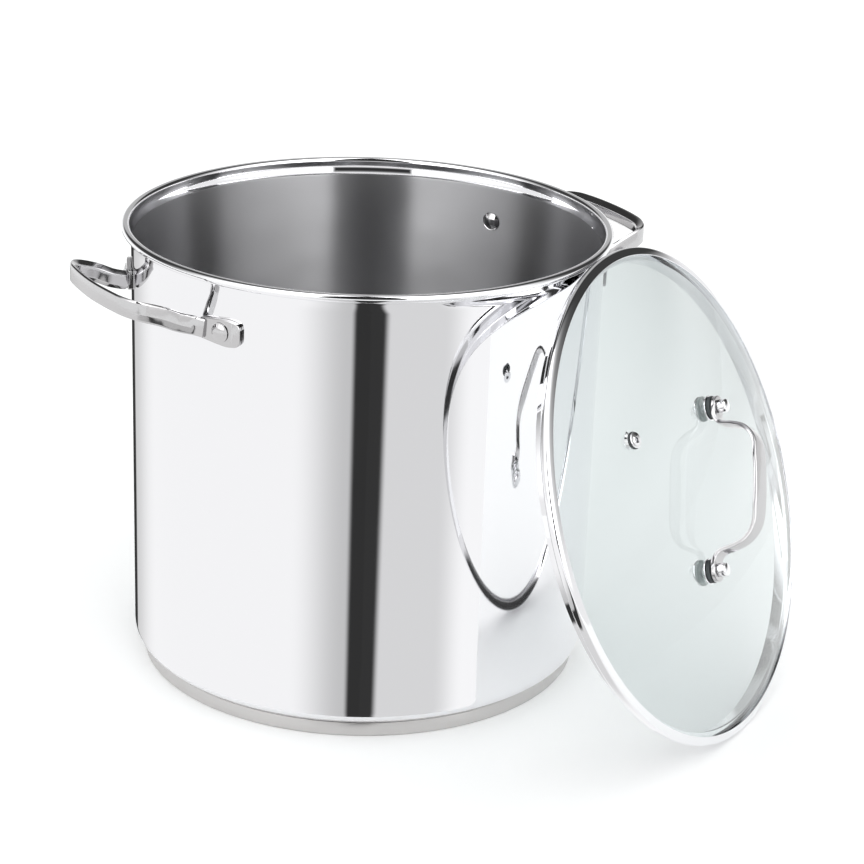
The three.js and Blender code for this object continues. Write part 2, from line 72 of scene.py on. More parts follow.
FIT_GAP = 0.3
RIVET_TURN = 25
RIVET_HEIGHT = 258
HANDLE_REACH = 190.5
HANDLE_ARM = 47
GRIP_HEIGHT = 273.5
STRAP_HEIGHT = 12.4
STRAP_DEPTH = 3.8
STRAP_SWELL = 1.2
STRAP_RIDGE = 1.3
PAD_THICKNESS = 2.6
PAD_REACH = 14.1
PAD_HEIGHT = 17
PAD_CUTS = 7
RIVET_HEAD = 6.2
RIVET_SHANK = 2.6
RIVET_OUTER_DOME = 11.2
RIVET_OUTER_RISE = 1.9
RIVET_INNER_DOME = 9.4
RIVET_INNER_RISE = 2

LID_CENTRE = Vector((124.4, -178.5, 146.85))
LID_RADIUS = 157
GLASS_RADIUS = 154.4
GLASS_RISE = 22.5
GLASS_EDGE = 1.2
GLASS_THICKNESS = 4
SKIRT_RADIUS = 148
SKIRT_DEPTH = 11.5
BAND_SHEET = 0.6
BAND_LIP = 151.6
LID_HANDLE_TURN = 56
LID_HANDLE_HALF = 53
LID_HANDLE_GRIP = 58
LID_STRAP = 2.8
LID_GRIP_HALF = 6.5
LID_NECK_NARROWING = 2.2
LID_PAD_HALF = 6.1
LID_PAD_MIDDLE = 54
LID_PAD_END = (60.09, 60, 59.6, 58.8, 57.4, 55.4)
VENT_REACH = 86
VENT_TURN = 141
WASHER_RADIUS = 8
OUTER_GASKET_RADIUS = 7.4
OUTER_WASHER = 0.8
OUTER_GASKET = 2.2
INNER_GASKET = 1.6
INNER_WASHER = 1
SCREW_SHANK = 3
SCREW_BORE = 4.5
VENT_BORE = 4.6

RACK_WIRE = 2.5
RACK_RING_WIRE = 2
RACK_RADIUS = 136
RACK_RINGS = (98, 62, 26)
RACK_RIM_RISE = 3.2
RACK_BAR_HEIGHT = 20
RACK_RING_HEIGHT = 23.6
RACK_FOOT_REACH = 122
RACK_PIVOT_REACH = 116
BAIL_HALF = 46
BAIL_LENGTH = 102
BAIL_CORNER = 16
BAIL_WIRE = 2
EYE_RADIUS = 4.7
EYE_WIRE = 1.8

# Steps round the pot and the lid, and round their small turned fittings.
ROUND_STEPS = 220
SMALL_ROUND_STEPS = 48

# ---- the studio's settings ---------------------------------------------------------------------
# The camera's place is in metres. Turns round the pot count from the camera's side.

CAMERA_PLACE = Vector((-0.7722, -1.3109, 0.7401))
CAMERA_AIM = math.radians(57.8)
CAMERA_PITCH = math.radians(21.219)
CAMERA_ROLL = math.radians(2.005)
CAMERA_LENS = 103.54

WORLD_STRENGTH = 1.1
ROOM_BRIGHT = 3.4
ROOM_BRIGHT_TO = math.radians(25)
ROOM_DARK_FROM = math.radians(115)
ROOM_DARK = 0.05
BACK_PANEL_FROM = math.radians(150)
BACK_PANEL_FULL = math.radians(164)
GAP_LEFT = math.radians(-22)
GAP_RIGHT = math.radians(19)
GAP_EDGE = math.radians(2)
GAP_LEVEL = 0.01
BACK_PANEL = 0.5
COVE = 0.95
COVE_FULL = 0.07
COVE_TOP = 0.2

# The lighting card, whose shades are painted reflections for the wall: turns in degrees, heights on the
# wall in millimetres, its lift in metres.
CARD_START = -89.3
CARD_TURN = 119.3
CARD_LOWEST = 6
CARD_OVER_RIM = 2
CARD_LIFT = 0.002
CARD_BLACK_LEFT = -2.6
CARD_BLACK_RIGHT = 5.2
CARD_BLACK = 0.975
CARD_FLARE_FROM = 257
CARD_FLARE_TO = 287
CARD_END = -76.5
CARD_END_BLACK = 0.97
CARD_GLOW = 0.02


# ---- outlines ----------------------------------------------------------------------------------
def arc(centre, radius, start, end, steps):
    """Points of an arc in a profile, with its angles in degrees."""
    points = []
    for i in range(steps + 1):
        angle = math.radians(start + (end - start) * i / steps)
        points.append((centre[0] + radius * math.cos(angle), centre[1] + radius * math.sin(angle)))
    return points


def rounded(corners, steps=4, closed=False):
    """An outline whose corners, given as (x, y, radius), are eased by curves."""
    points = []
    count = len(corners)
    for i, (x, y, radius) in enumerate(corners):
        here = Vector((x, y))
        if radius == 0 or (not closed and i in (0, count - 1)):
            points.append((x, y))
            continue
        before = Vector(corners[i - 1][:2]) - here
        after = Vector(corners[(i + 1) % count][:2]) - here
        reach = min(radius, before.length * 0.48, after.length * 0.48)
        start = here + before.normalized() * reach
        end = here + after.normalized() * reach
        for k in range(steps + 1):
            t = k / steps
            point = start * (1 - t) ** 2 + here * 2 * t * (1 - t) + end * t ** 2
            points.append((point.x, point.y))
    return points


def smooth_path(points, steps):
    """A centripetal curve through points, with this many steps between each two."""
    points = [Vector(p) for p in points]
    padded = [points[0] * 2 - points[1], *points, points[-1] * 2 - points[-2]]
    path = []
    for i in range(len(points) - 1):
        a, b, c, d = padded[i:i + 4]
        ta = 0.0
        tb = ta + (b - a).length ** 0.5
        tc = tb + (c - b).length ** 0.5
        td = tc + (d - c).length ** 0.5
        for s in range(steps):
            t = tb + (tc - tb) * s / steps
            ab = a.lerp(b, (t - ta) / (tb - ta))
            bc = b.lerp(c, (t - tb) / (tc - tb))
            cd = c.lerp(d, (t - tc) / (td - tc))
            abc = ab.lerp(bc, (t - ta) / (tc - ta))
            bcd = bc.lerp(cd, (t - tb) / (td - tb))
            path.append(abc.lerp(bcd, (t - tb) / (tc - tb)))
    path.append(points[-1])
    return path


def circle(centre, radius, sides):
    """A closed round outline."""
    return arc(centre, radius, 0, 360, sides)[:-1]


def ease(low, high, value):
    """Rises smoothly from 0 at low to 1 at high."""
    t = min(1.0, max(0.0, (value - low) / (high - low)))
    return t * t * (3 - 2 * t)


# ---- making and finishing pieces ---------------------------------------------------------------
def lathe(bm, profile, segments, place=Matrix()):
    """Turns a profile of (radius, height) about Z. It starts and ends on the axis or closes."""
    made = [bm.verts.new((x, 0, z)) for x, z in profile]
    on_axis = abs(profile[0][0]) < 1e-6 and abs(profile[-1][0]) < 1e-6
    pairs = list(zip(made, made[1:] if on_axis else made[1:] + made[:1]))
    edges = [bm.edges.new(pair) for pair in pairs]
    bmesh.ops.spin(
        bm, geom=made + edges, cent=(0, 0, 0), axis=(0, 0, 1), angle=math.tau,
        steps=segments, use_merge=True, use_duplicate=False,
    )
    fresh = [v for v in bm.verts if not v.tag]
    bmesh.ops.remove_doubles(bm, verts=fresh, dist=1e-5)
    fresh = [v for v in bm.verts if not v.tag]
    bmesh.ops.transform(bm, matrix=place, verts=fresh)
    for v in fresh:
        v.tag = True


def grow(bm, face):
    """Extrudes a face and returns the new one, whose corners keep their order."""
    grown = bmesh.ops.extrude_face_region(bm, geom=[face, *face.edges])["geom"]
    return next(part for part in grown if isinstance(part, bmesh.types.BMFace))


def sweep(bm, sections, stations, place=Matrix()):
    """Draws a closed section along stations. A station's X and Y hold the section."""
    face = bm.faces.new([bm.verts.new((x, y, 0)) for x, y in sections[0]])
    everything = []
    for i, (section, station) in enumerate(zip(sections, stations)):
        if i > 0:
            face = grow(bm, face)
        for vert, (x, y) in zip(face.verts, section):
            vert.co = place @ station @ Vector((x, y, 0))
        everything += face.verts
    for v in everything:
        v.tag = True


def stations_along(path, sideways):
    """A frame at each point: X is sideways(tangent), Y completes it and Z runs along."""
    made = []
    for i, point in enumerate(path):
        along = (path[min(i + 1, len(path) - 1)] - path[max(i - 1, 0)]).normalized()
        x = sideways(along).normalized()
        y = along.cross(x).normalized()
        station = Matrix((x, y, along)).transposed().to_4x4()
        station.translation = point
        made.append(station)
    return made


def rod(bm, start, end, radius, sides=20):
    """A straight round bar with eased ends."""
    start, end = Vector(start), Vector(end)
    length = (end - start).length
    ease_by = radius * 0.35
    profile = rounded([
        (0, 0, 0), (radius, 0, ease_by), (radius, length, ease_by), (0, length, 0),
    ], 3)
    turn = (end - start).to_track_quat("Z", "Y").to_matrix().to_4x4()
    lathe(bm, profile, sides, Matrix.Translation(start) @ turn)


def finish_piece(name, bm, body, materials, nodes, place=Matrix(), sharp=35):
    """Closes a piece, brings it to metres and puts it on its body in place of its CAD nodes."""
    bmesh.ops.remove_doubles(bm, verts=bm.verts, dist=1e-5)
    bmesh.ops.recalc_face_normals(bm, faces=bm.faces)
    bmesh.ops.transform(bm, matrix=Matrix.Scale(MM, 4) @ place, verts=bm.verts)
    mesh = bpy.data.meshes.new(name)
    bm.to_mesh(mesh)
    bm.free()
    for material in materials:
        mesh.materials.append(material)
    mesh.shade_smooth()
    mesh.set_sharp_from_angle(angle=math.radians(sharp))
    piece = bpy.data.objects.new(name, mesh)
    bpy.context.scene.collection.objects.link(piece)
    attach(piece, body)
    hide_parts(*nodes)
    return piece


# ---- materials ---------------------------------------------------------------------------------
def colour(code):
    """An sRGB hex colour as linear RGBA."""
    channels = [int(code[i:i + 2], 16) / 255 for i in (1, 3, 5)]
    linear = [c / 12.92 if c <= 0.04045 else ((c + 0.055) / 1.055) ** 2.4 for c in channels]
    return (*linear, 1.0)


def add(tree, kind, inputs=None, **settings):
    """Adds a node with its settings, and fills or links its sockets."""
    made = tree.nodes.new(kind)
    for name, value in settings.items():
        setattr(made, name, value)
    for key, value in (inputs or {}).items():
        if isinstance(value, bpy.types.NodeSocket):
            tree.links.new(value, made.inputs[key])
        else:
            made.inputs[key].default_value = value
    return made


def new_material(name):
    material = bpy.data.materials.new(name)
    material.use_nodes = True
    material.node_tree.nodes.clear()
    return material, material.node_tree


def pattern(tree, spacing_x, spacing_y, spacing_z, detail=2.0):
    """Noise whose grains are this many millimetres along each axis."""
    place = add(tree, "ShaderNodeTexCoord")
    scale = (1 / (spacing_x * MM), 1 / (spacing_y * MM), 1 / (spacing_z * MM))
    mapped = add(tree, "ShaderNodeMapping", {"Vector": place.outputs["Object"], "Scale": scale})
    noise = add(tree, "ShaderNodeTexNoise", {
        "Vector": mapped.outputs[0], "Scale": 1.0, "Detail": detail,
    })
    return noise.outputs["Fac"]


def metal(name, base, rough_low, rough_high, grain, grain_depth, anisotropic=0.0):
    """A bare metal whose polish varies in soft patches, with grain lines given in millimetres."""
    material, tree = new_material(name)
    patches = pattern(tree, 38, 38, 26, 3.0)
    lines = pattern(tree, *grain)
    rough = add(tree, "ShaderNodeMapRange", {
        "Value": patches, "From Min": 0.3, "From Max": 0.7, "To Min": rough_low, "To Max": rough_high,
    })
    bump = add(tree, "ShaderNodeBump", {
        "Strength": 1.0, "Distance": grain_depth * MM, "Height": lines,
    })
    inputs = {
        "Base Color": colour(base), "Metallic": 1.0, "Roughness": rough.outputs["Result"],
        "Normal": bump.outputs[0], "Anisotropic": anisotropic,
    }
    if anisotropic:
        around = add(tree, "ShaderNodeTangent", direction_type="RADIAL", axis="Z")
        inputs["Tangent"] = around.outputs[0]
        inputs["Anisotropic Rotation"] = 0.25
    shader = add(tree, "ShaderNodeBsdfPrincipled", inputs)
    add(tree, "ShaderNodeOutputMaterial", {"Surface": shader.outputs[0]})
    return material


def tempered_glass():
    """Clear tempered glass: nearly no colour face on, and a green cast where it is deep."""
    material, tree = new_material("clear_tempered_glass")
    smears = pattern(tree, 60, 60, 60, 3.0)
    rough = add(tree, "ShaderNodeMapRange", {
        "Value": smears, "From Min": 0.35, "From Max": 0.75, "To Min": 0.0, "To Max": 0.02,
    })
    shader = add(tree, "ShaderNodeBsdfPrincipled", {
        "Base Color": colour("#e0e6e6"), "Roughness": rough.outputs["Result"], "IOR": 1.5,
        "Transmission Weight": 1.0,
    })
    add(tree, "ShaderNodeOutputMaterial", {"Surface": shader.outputs[0]})
    return material


def silicone_rubber():
    """Moulded silicone: matt, near black, with a fine pebble and a trace of dust."""
    material, tree = new_material("moulded_silicone_rubber")
    pebble = pattern(tree, 0.6, 0.6, 0.6, 2.0)
    dust = pattern(tree, 5, 5, 5, 3.0)
    share = add(tree, "ShaderNodeMapRange", {
        "Value": dust, "From Min": 0.35, "From Max": 0.75, "To Min": 0.0, "To Max": 1.0,
    })
    tone = add(tree, "ShaderNodeMix", {
        "Factor": share.outputs["Result"], "A": colour("#2b2f31"), "B": colour("#44494b"),
    }, data_type="RGBA")
    bump = add(tree, "ShaderNodeBump", {"Strength": 0.5, "Distance": 0.05 * MM, "Height": pebble})
    shader = add(tree, "ShaderNodeBsdfPrincipled", {
        "Base Color": tone.outputs["Result"], "Roughness": 0.5, "Normal": bump.outputs[0],
    })
    add(tree, "ShaderNodeOutputMaterial", {"Surface": shader.outputs[0]})
    return material


def clear_silicone():
    """Unpigmented silicone: milky, soft and a little cloudy from place to place."""
    material, tree = new_material("unpigmented_silicone_rubber")
    cloud = pattern(tree, 3, 3, 3, 2.0)
    share = add(tree, "ShaderNodeMapRange", {
        "Value": cloud, "From Min": 0.3, "From Max": 0.7, "To Min": 0.0, "To Max": 1.0,
    })
    tone = add(tree, "ShaderNodeMix", {
        "Factor": share.outputs["Result"], "A": colour("#dde3e2"), "B": colour("#e9eeed"),
    }, data_type="RGBA")
    shader = add(tree, "ShaderNodeBsdfPrincipled", {
        "Base Color": tone.outputs["Result"], "Roughness": 0.35, "IOR": 1.41, "Transmission Weight": 0.6,
    })
    add(tree, "ShaderNodeOutputMaterial", {"Surface": shader.outputs[0]})
    return material


# Mirror-polished stainless: sharp reflections, with polishing lines too faint to break them up.
mirror_steel = metal("mirror_polished_stainless", "#f1f1f3", 0.025, 0.05, (60, 60, 1.4), 0.0004)
# Buffed stainless on the pressed handles: softer reflections and a greyer tone than the wall's.
buffed_steel = metal("buffed_pressed_stainless", "#c6c5c6", 0.08, 0.16, (6, 6, 6), 0.005)
# Satin stainless inside the pot: brushed round the wall, so highlights stretch up and down it.
satin_steel = metal("satin_brushed_stainless", "#bcbcbe", 0.29, 0.34, (40, 40, 0.9), 0.002, 1.0)
# Bead-blasted stainless on the base: a fine, even grain, drawn a little coarse so that it shows.
base_steel = metal("fine_grained_base_stainless", "#cecccb", 0.3, 0.42, (0.9, 0.9, 0.9), 0.02)
# Drawn and plated wire: bright, with faint lines left by the die.
plated_wire = metal("bright_plated_wire", "#d4d5d6", 0.1, 0.2, (3, 3, 0.8), 0.002)
# Rolled aluminium: soft grey with straight rolling lines.
rolled_aluminium = metal("rolled_aluminium", "#c3c5c8", 0.35, 0.5, (0.8, 30, 30), 0.01)
clear_glass = tempered_glass()
dark_silicone = silicone_rubber()
pale_silicone = clear_silicone()


# ---- pot ---------------------------------------------------------------------------------------
def pot_profile():
    """The shell's outline: out along the floor, up the wall, round the rim and back inside."""
    outer_corner = (POT_RADIUS - CORNER, POT_FLOOR + CORNER)
    mouth = RIM_RADIUS - RIM_BEAD
    rise = RIM_HEIGHT - FLARE_DROP - FLARE_START
    flare_out, flare_in = [
        [(wall + spread * dx, FLARE_START + dz * rise) for dx, dz in FLARE_CURVE]
        for wall, spread in ((POT_RADIUS, FLARE_OUTER_SPREAD), (POT_RADIUS - WALL, FLARE_INNER_SPREAD))
    ]
    bead = (RIM_RADIUS, RIM_HEIGHT)
    return [
        (0, POT_FLOOR),
        *arc(outer_corner, CORNER, -90, 0, 12),
        *flare_out,
        (mouth + WALL, RIM_HEIGHT - FLARE_DROP),
        *arc(bead, RIM_BEAD - WALL, 180, -100, 20),
        *arc(bead, RIM_BEAD, -100, 180, 28),
        (mouth, RIM_HEIGHT - FLARE_DROP / 2),
        *reversed(flare_in),
        *arc(outer_corner, CORNER - WALL, 0, -90, 12),
        (0, POT_FLOOR + WALL),
    ]


def make_pot():
    """One drawn shell, polished outside and satin on its floor and its inner wall."""
    bm = bmesh.new()
    lathe(bm, pot_profile(), ROUND_STEPS)
    bmesh.ops.recalc_face_normals(bm, faces=bm.faces)
    for face in bm.faces:
        middle = face.calc_center_median()
        facing_in = face.normal.x * middle.x + face.normal.y * middle.y < -0.2 * middle.xy.length
        floor_top = face.normal.z > 0.4 and middle.z < POT_FLOOR + CORNER + 2
        if (facing_in and middle.z < FLARE_START + 1) or floor_top:
            face.material_index = 1
    finish_piece("pot_shell", bm, "pot", [mirror_steel, satin_steel], ["pot_body"])


def make_base():
    """The cap under the pot, and the sealed disc in it, which keeps its own mesh."""
    inside = BASE_RADIUS - BASE_SHEET
    bm = bmesh.new()
    lathe(bm, rounded([
        (0, 0, 0), (BASE_RADIUS, 0, 1.6), (BASE_RADIUS, BASE_TOP, 0.25), (inside, BASE_TOP, 0.25),
        (inside, BASE_SHEET, 1.2), (0, BASE_SHEET, 0),
    ], 6), ROUND_STEPS)
    finish_piece("base_cap_shell", bm, "pot", [base_steel], ["base_cap"])
    core = frame["nodes"]["base_heat_spreading_disc"]
    core.data.materials.clear()
    core.data.materials.append(rolled_aluminium)


# ---- side handles ------------------------------------------------------------------------------
def strap_section(ridge, depth, height):
    """X is away from the pot and Y is up. A ridge splits the outer face into two facets."""
    return rounded([
        (depth / 2, -height * 0.42, 0.5), (depth / 2 + ridge, -height * 0.1, 0.35),
        (depth / 2, height * 0.42, 0.5), (depth / 2 - 1, height / 2, 0.5),
        (-depth / 2, height * 0.26, 0.6), (-depth / 2, -height * 0.26, 0.6),
        (depth / 2 - 1, -height / 2, 0.5),
    ], 3, closed=True)


def side_handle_path():
    """The strap's middle line, from one pad up its arm, along the grip and back."""
    start = math.radians(RIVET_TURN - 4.4)
    middle = POT_RADIUS + FIT_GAP + PAD_THICKNESS / 2 + 1
    half = [
        (middle * math.cos(start), middle * math.sin(start), RIVET_HEIGHT),
        (POT_RADIUS - 3, HANDLE_ARM + 1.6, RIVET_HEIGHT + 1),
        (POT_RADIUS + 7, HANDLE_ARM - 0.3, RIVET_HEIGHT + 4.2),
        (HANDLE_REACH - 22, HANDLE_ARM, GRIP_HEIGHT - 6),
        (HANDLE_REACH - 9, HANDLE_ARM - 2.4, GRIP_HEIGHT - 1.6),
        (HANDLE_REACH - 4, HANDLE_ARM - 10, GRIP_HEIGHT - 0.4),
        (HANDLE_REACH - 1.6, HANDLE_ARM - 22, GRIP_HEIGHT),
        (HANDLE_REACH, 0, GRIP_HEIGHT),
    ]
    return smooth_path(half + [(x, -y, z) for x, y, z in reversed(half[:-1])], 10)


def add_pad(bm, turn):
    """A riveted pad: a plate with a rounded far end, eased at its outer edge and bent to the wall."""
    half = [
        (-PAD_REACH - 1, PAD_HEIGHT * 0.38, 1), (PAD_REACH * 0.35, PAD_HEIGHT / 2, 3),
        (PAD_REACH, PAD_HEIGHT * 0.42, 6),
    ]
    outline = rounded([(y, -z, easing) for y, z, easing in half] + half[::-1], 8, closed=True)
    face = bm.faces.new([bm.verts.new((0, y, z)) for y, z in outline])
    verts = list(face.verts)
    for short_of_top, shrink in ((0.5, 1.0), (0.15, 0.985), (0, 0.955)):
        face = grow(bm, face)
        for vert, (y, z) in zip(face.verts, outline):
            vert.co = (PAD_THICKNESS - short_of_top, y * shrink, z * shrink)
        verts += face.verts
    plate = {f for v in verts for f in v.link_faces}
    parts = [*plate, *{e for f in plate for e in f.edges}, *verts]
    for step in range(1 - PAD_CUTS, PAD_CUTS):
        middle = (0, step * PAD_REACH / PAD_CUTS, 0)
        cut = bmesh.ops.bisect_plane(bm, geom=parts, dist=1e-5, plane_co=middle, plane_no=(0, 1, 0))
        parts = cut["geom"]
    inner = POT_RADIUS + FIT_GAP
    for vert in {g for g in parts if isinstance(g, bmesh.types.BMVert)}:
        angle = turn + math.copysign(1, turn) * vert.co.y / inner
        out = inner + vert.co.x
        vert.co = (out * math.cos(angle), out * math.sin(angle), vert.co.z + RIVET_HEIGHT)
        vert.tag = True


def make_side_handle(name, turn):
    """A pressed strap with a riveted pad at each end, turned to its side of the pot."""
    path = side_handle_path()
    bm = bmesh.new()
    sections = []
    for point in path:
        on_arm = ease(POT_RADIUS - 6, POT_RADIUS + 2, point.x) * (1 - ease(176, 181, point.x))
        away = ease(POT_RADIUS - 7, POT_RADIUS + 8, point.x)
        depth = STRAP_DEPTH + STRAP_SWELL * away
        sections.append(strap_section(STRAP_RIDGE * on_arm, depth, STRAP_HEIGHT))
    for half in (1, -1):
        add_pad(bm, half * math.radians(RIVET_TURN))
    sweep(bm, sections, stations_along(path, lambda along: UP.cross(along)))
    finish_piece(
        f"{name}_strap", bm, "pot", [buffed_steel], [name],
        Matrix.Rotation(math.radians(turn), 4, "Z"), sharp=28,
    )


def make_rivets():
    """Domed heads outside and inside the wall, on one shank."""
    inside = -WALL - 2 * FIT_GAP
    outside = 2 * FIT_GAP + PAD_THICKNESS
    head = RIVET_HEAD
    inner_middle = (0, inside - RIVET_INNER_RISE + RIVET_INNER_DOME)
    outer_middle = (0, outside + RIVET_OUTER_RISE - RIVET_OUTER_DOME)
    profile = [
        (0, inside - RIVET_INNER_RISE), *arc(inner_middle, RIVET_INNER_DOME, -90, -52, 8)[1:],
        (head, inside - 0.2), (head, inside), (RIVET_SHANK, inside),
        (RIVET_SHANK, outside), (head, outside), (head, outside + 0.35),
        *arc(outer_middle, RIVET_OUTER_DOME, 60, 90, 8)[:-1], (0, outside + RIVET_OUTER_RISE),
    ]
    stand = Matrix.Translation((POT_RADIUS, 0, RIVET_HEIGHT)) @ Matrix.Rotation(math.pi / 2, 4, "Y")
    places = {
        "right_handle_rear_rivet": RIVET_TURN, "right_handle_front_rivet": -RIVET_TURN,
        "left_handle_front_rivet": 180 + RIVET_TURN, "left_handle_rear_rivet": 180 - RIVET_TURN,
    }
    for name, turn in places.items():
        bm = bmesh.new()
        lathe(bm, profile, 40, stand)
        finish_piece(
            f"{name}_domed", bm, "pot", [buffed_steel], [name],
            Matrix.Rotation(math.radians(turn), 4, "Z"),
        )


# ---- lid ---------------------------------------------------------------------------------------
GLASS_SPHERE = (GLASS_RADIUS ** 2 + GLASS_RISE ** 2) / (2 * GLASS_RISE)


def glass_height(radius):
    """Height of the glass's outer face above the rim's plane."""
    return GLASS_EDGE + GLASS_RISE - (GLASS_SPHERE - math.sqrt(GLASS_SPHERE ** 2 - radius ** 2))


def lid_place():
    """X runs level across the lid, Y up its slope and Z out of its dome."""
    joint = next(j for j in frame["joints"] if j["child"] == "lid")
    out = Vector(joint["axis"]).normalized()
    level = UP.cross(out).normalized()
    place = Matrix((level, out.cross(level), out)).transposed().to_4x4()
    place.translation = LID_CENTRE
    return place


LID = lid_place()


def lid_spot(reach, turn):
    """A point this far from a middle, at this turn in degrees, on a level plane."""
    angle = math.radians(turn)
    return Vector((reach * math.cos(angle), reach * math.sin(angle), 0))


HANDLE_SPOTS = {
    "upper": lid_spot(LID_HANDLE_HALF, LID_HANDLE_TURN),
    "lower": lid_spot(-LID_HANDLE_HALF, LID_HANDLE_TURN),
}
SEAT = glass_height(LID_HANDLE_HALF - WASHER_RADIUS) + FIT_GAP
INNER_SEAT = glass_height(LID_HANDLE_HALF + WASHER_RADIUS) - GLASS_THICKNESS - 2 * FIT_GAP
PAD_TOP = SEAT + OUTER_WASHER + OUTER_GASKET + 3 * FIT_GAP + LID_STRAP


def make_glass():
    """The dome, with a ground edge and bores for the handle's screws and the vent."""
    steps = 44
    rings = [GLASS_RADIUS * i / steps for i in range(steps)]
    face = [(r, glass_height(r)) for r in rings]
    edge = glass_height(GLASS_RADIUS)
    last, last_height = face[-1]
    ground = rounded([
        (last, last_height - GLASS_THICKNESS, 0), (GLASS_RADIUS, edge - GLASS_THICKNESS, 1.2),
        (GLASS_RADIUS, edge, 1.2), (last, last_height, 0),
    ], 5)
    bm = bmesh.new()
    lathe(bm, [(r, z - GLASS_THICKNESS) for r, z in face] + ground[1:-1] + face[::-1], ROUND_STEPS)
    glass = finish_piece("lid_dome_glass", bm, "lid", [clear_glass], ["lid_glass"], LID)
    bores = [(spot, SCREW_BORE) for spot in HANDLE_SPOTS.values()]
    bores.append((lid_spot(VENT_REACH, VENT_TURN), VENT_BORE))
    cutter_bm = bmesh.new()
    for spot, radius in bores:
        bmesh.ops.create_cone(
            cutter_bm, cap_ends=True, segments=32, radius1=radius, radius2=radius, depth=60,
            matrix=Matrix.Translation(spot + Vector((0, 0, 10))),
        )
    bmesh.ops.transform(cutter_bm, matrix=Matrix.Scale(MM, 4) @ LID, verts=cutter_bm.verts)
    cutter_mesh = bpy.data.meshes.new("bore_cutter")
    cutter_bm.to_mesh(cutter_mesh)
    cutter_bm.free()
    cutter = bpy.data.objects.new("bore_cutter", cutter_mesh)
    bpy.context.scene.collection.objects.link(cutter)
    cut = glass.modifiers.new("bores", "BOOLEAN")
    cut.operation = "DIFFERENCE"
    cut.solver = "EXACT"
    cut.object = cutter
    bpy.context.view_layer.update()
    evaluated = glass.evaluated_get(bpy.context.evaluated_depsgraph_get())
    bored = bpy.data.meshes.new_from_object(evaluated)
    glass.modifiers.clear()
    glass.data = bored
    bpy.data.objects.remove(cutter)
    glass.visible_shadow = False
    glass.visible_glossy = False


def make_band():
    """One rolled strip: folded over the glass's edge, with a skirt that drops into the pot."""
    top = glass_height(BAND_LIP) + FIT_GAP + BAND_SHEET
    under = GLASS_EDGE - GLASS_THICKNESS - FIT_GAP - 0.2
    edge = GLASS_RADIUS + FIT_GAP
    bm = bmesh.new()
    lathe(bm, rounded([
        (BAND_LIP, top, 0.25), (BAND_LIP, top - BAND_SHEET, 0.2), (edge, GLASS_EDGE + 0.4, 0.3),
        (edge + 0.3, GLASS_EDGE - 1, 0.3), (edge + 0.1, under, 0.3), (SKIRT_RADIUS - BAND_SHEET, under, 1),
        (SKIRT_RADIUS - BAND_SHEET, -SKIRT_DEPTH, 0.25), (SKIRT_RADIUS + 0.2, -SKIRT_DEPTH, 0.25),
        (SKIRT_RADIUS, under - BAND_SHEET - 0.4, 0.6), (SKIRT_RADIUS + 0.6, under - BAND_SHEET, 0.5),
        (LID_RADIUS - 1.4, under - BAND_SHEET, 1.2), (LID_RADIUS - 0.3, under + 0.6, 1),
        (LID_RADIUS, 0, 1.2), (LID_RADIUS - 0.6, 1.2, 0.9), (LID_RADIUS - 2, 2, 0.9),
    ], 5, closed=True), ROUND_STEPS)
    finish_piece("lid_rolled_band", bm, "lid", [mirror_steel], ["lid_rim_band"], LID)


def lid_strap_half_width(x):
    """Half the strap's width this far from its middle: a broad grip, a neck and a round pad."""
    x = abs(x)
    if x >= LID_PAD_MIDDLE:
        return math.sqrt(max(0.02, LID_PAD_HALF ** 2 - (x - LID_PAD_MIDDLE) ** 2))
    grip = LID_GRIP_HALF - LID_NECK_NARROWING * ease(14, 40, x)
    return grip + (LID_PAD_HALF - grip) * ease(41, 53, x)


def make_lid_handle():
    """A bent strap whose ends widen into round pads."""
    pad = PAD_TOP - LID_STRAP / 2
    grip = LID_HANDLE_GRIP - LID_STRAP / 2
    near_end = [Vector((-x, 0, pad)) for x in LID_PAD_END]
    far_end = [Vector((x, 0, pad)) for x in reversed(LID_PAD_END)]
    bend = [
        (-53, 0, pad), (-46.5, 0, pad), (-42, 0, pad + 3), (-39.5, 0, grip - 17), (-36, 0, grip - 8.5),
        (-28, 0, grip - 2), (-14, 0, grip), (0, 0, grip + 0.4),
    ]
    middle = smooth_path(bend + [(-x, y, z) for x, y, z in reversed(bend[:-1])], 9)
    path = near_end + middle + far_end
    half = LID_STRAP / 2
    sections = []
    for point in path:
        wide = lid_strap_half_width(point.x)
        sections.append(rounded([
            (-half, -wide, 0.6), (half, -wide, 0.6), (half + 0.25, 0, 4), (half, wide, 0.6),
            (-half, wide, 0.6),
        ], 4, closed=True))
    bm = bmesh.new()
    across = Vector((0, 1, 0))
    sweep(bm, sections, stations_along(path, lambda along: along.cross(across) * -1))
    finish_piece(
        "lid_strap_handle", bm, "lid", [buffed_steel], ["lid_handle"],
        LID @ Matrix.Rotation(math.radians(LID_HANDLE_TURN), 4, "Z"),
    )


def washer_profile(outer, inner, bottom, thickness, easing):
    """A flat ring's outline, with eased edges."""
    top = bottom + thickness
    return rounded([
        (inner, bottom, easing), (outer, bottom, easing), (outer, top, easing), (inner, top, easing),
    ], 4, closed=True)


